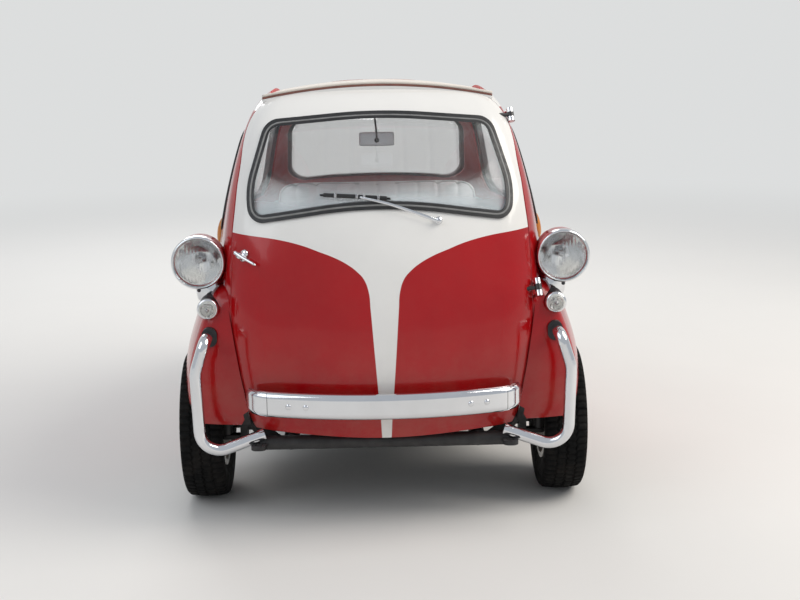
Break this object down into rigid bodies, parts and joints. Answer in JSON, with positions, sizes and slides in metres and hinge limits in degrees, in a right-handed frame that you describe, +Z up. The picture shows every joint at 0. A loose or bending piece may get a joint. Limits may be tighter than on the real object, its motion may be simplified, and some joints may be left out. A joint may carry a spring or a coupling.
{
  "type": "bubble car",
  "caption": "Two-seat egg-shaped microcar with a front-opening door, narrow rear track, louvred engine hatch, fabric roof and tubular bumper guards.",
  "frame": {"origin": "on the ground under the middle of the overall length, on the centre plane", "axes": "+Z up, -Y towards the nose, +X towards the car's own left side"},
  "size_m": [1.2934, 2.355, 1.3447],
  "materials": {
    "red_paint": "glossy two-tone coachwork paint",
    "chrome": "polished chrome plate",
    "clear_glass": "clear toughened glass",
    "black_rubber": "moulded rubber",
    "black_steel": "satin black chassis paint",
    "cream_fabric": "coated roof cloth",
    "seat_cloth": "woven seat cloth",
    "tyre_rubber": "worn tyre rubber",
    "wheel_paint": "painted pressed steel",
    "engine_grey": "dull cast metal",
    "bright_steel": "bare steel",
    "ivory_plastic": "moulded plastic",
    "lamp_lens": "ribbed lamp glass",
    "floor_paint": "painted floor"
  },
  "bodies": {
    "body": {"body_shell": "red_paint", "roof_fabric": "cream_fabric", "body_glass": "clear_glass", "window_seals": "black_rubber", "floor_pan": "floor_paint", "parcel_shelf": "floor_paint", "chassis_frame": "black_steel", "suspension": "black_steel", "chain_case": "engine_grey", "engine_block": "engine_grey", "exhaust": "bright_steel", "guard_tubes": "chrome", "guard_grommets": "black_rubber", "headlamp_pods": "red_paint", "headlamp_rims": "chrome", "headlamp_lenses": "lamp_lens", "small_lamp_bodies": "black_rubber", "small_lamp_lenses": "lamp_lens", "fuel_cap": "chrome", "hinge_brackets": "chrome", "seat_base": "floor_paint", "seat_cushion": "seat_cloth", "seat_backrest": "seat_cloth", "cabin_controls": "black_steel"},
    "door": {"door_panel": "red_paint", "windscreen": "clear_glass", "windscreen_seal": "black_rubber", "door_bumper": "chrome", "door_handle": "chrome", "hinge_arms": "chrome", "wiper": "chrome", "interior_mirror": "black_steel", "steering_column": "ivory_plastic"},
    "steering_wheel": {"steering_wheel": "ivory_plastic"},
    "engine_hatch": {"hatch_panel": "red_paint"},
    "knuckle_left": {"knuckle_left": "black_steel"},
    "knuckle_right": {"knuckle_right": "black_steel"},
    "track_rod": {"track_rod": "black_steel"},
    "front_left_wheel": {"tyre_front_left": "tyre_rubber", "wheel_front_left": "wheel_paint"},
    "front_right_wheel": {"tyre_front_right": "tyre_rubber", "wheel_front_right": "wheel_paint"},
    "rear_wheels": {"tyres_rear": "tyre_rubber", "wheels_rear": "wheel_paint", "rear_axle_shaft": "bright_steel"}
  },
  "joints": [
    {"name": "door_hinge", "type": "hinge", "parent": "body", "child": "door", "pos_m": [0.478, -0.9905, 0.728], "axis": [-0.0991, 0.4554, 0.8848], "range_deg": [0, 85]},
    {"name": "hatch_hinge", "type": "hinge", "parent": "body", "child": "engine_hatch", "pos_m": [-0.4899, 0.2745, 0.44], "axis": [-0.0174, 0, 0.9998], "range_deg": [0, 85]},
    {"name": "steer_left", "type": "hinge", "parent": "body", "child": "knuckle_left", "pos_m": [0.52, -0.7175, 0.243], "axis": [0, 0, 1], "range_deg": [-24, 24]},
    {"name": "steer_right", "type": "hinge", "parent": "body", "child": "knuckle_right", "pos_m": [-0.52, -0.7175, 0.243], "axis": [0, 0, 1], "range_deg": [-24, 24]},
    {"name": "track_rod_slide", "type": "slide", "parent": "body", "child": "track_rod", "axis": [1, 0, 0], "range_m": [-0.045, 0.045]},
    {"name": "steering_wheel_turn", "type": "hinge", "parent": "door", "child": "steering_wheel", "pos_m": [0.235, -0.6325, 0.84], "axis": [0, 0.5934, 0.8049], "range_deg": [-361, 361]},
    {"name": "front_left_spin", "type": "hinge", "parent": "knuckle_left", "child": "front_left_wheel", "pos_m": [0.578, -0.7175, 0.243], "axis": [1, 0, 0], "continuous": true},
    {"name": "front_right_spin", "type": "hinge", "parent": "knuckle_right", "child": "front_right_wheel", "pos_m": [-0.578, -0.7175, 0.243], "axis": [1, 0, 0], "continuous": true},
    {"name": "rear_spin", "type": "hinge", "parent": "body", "child": "rear_wheels", "pos_m": [0, 0.7825, 0.243], "axis": [1, 0, 0], "continuous": true}
  ],
  "couplings": [
    {"joint": "steer_right", "follows": "steer_left", "ratio": 1},
    {"joint": "track_rod_slide", "follows": "steer_left", "m_per_rad": -0.105},
    {"joint": "steering_wheel_turn", "follows": "steer_left", "ratio": 15}
  ]
}
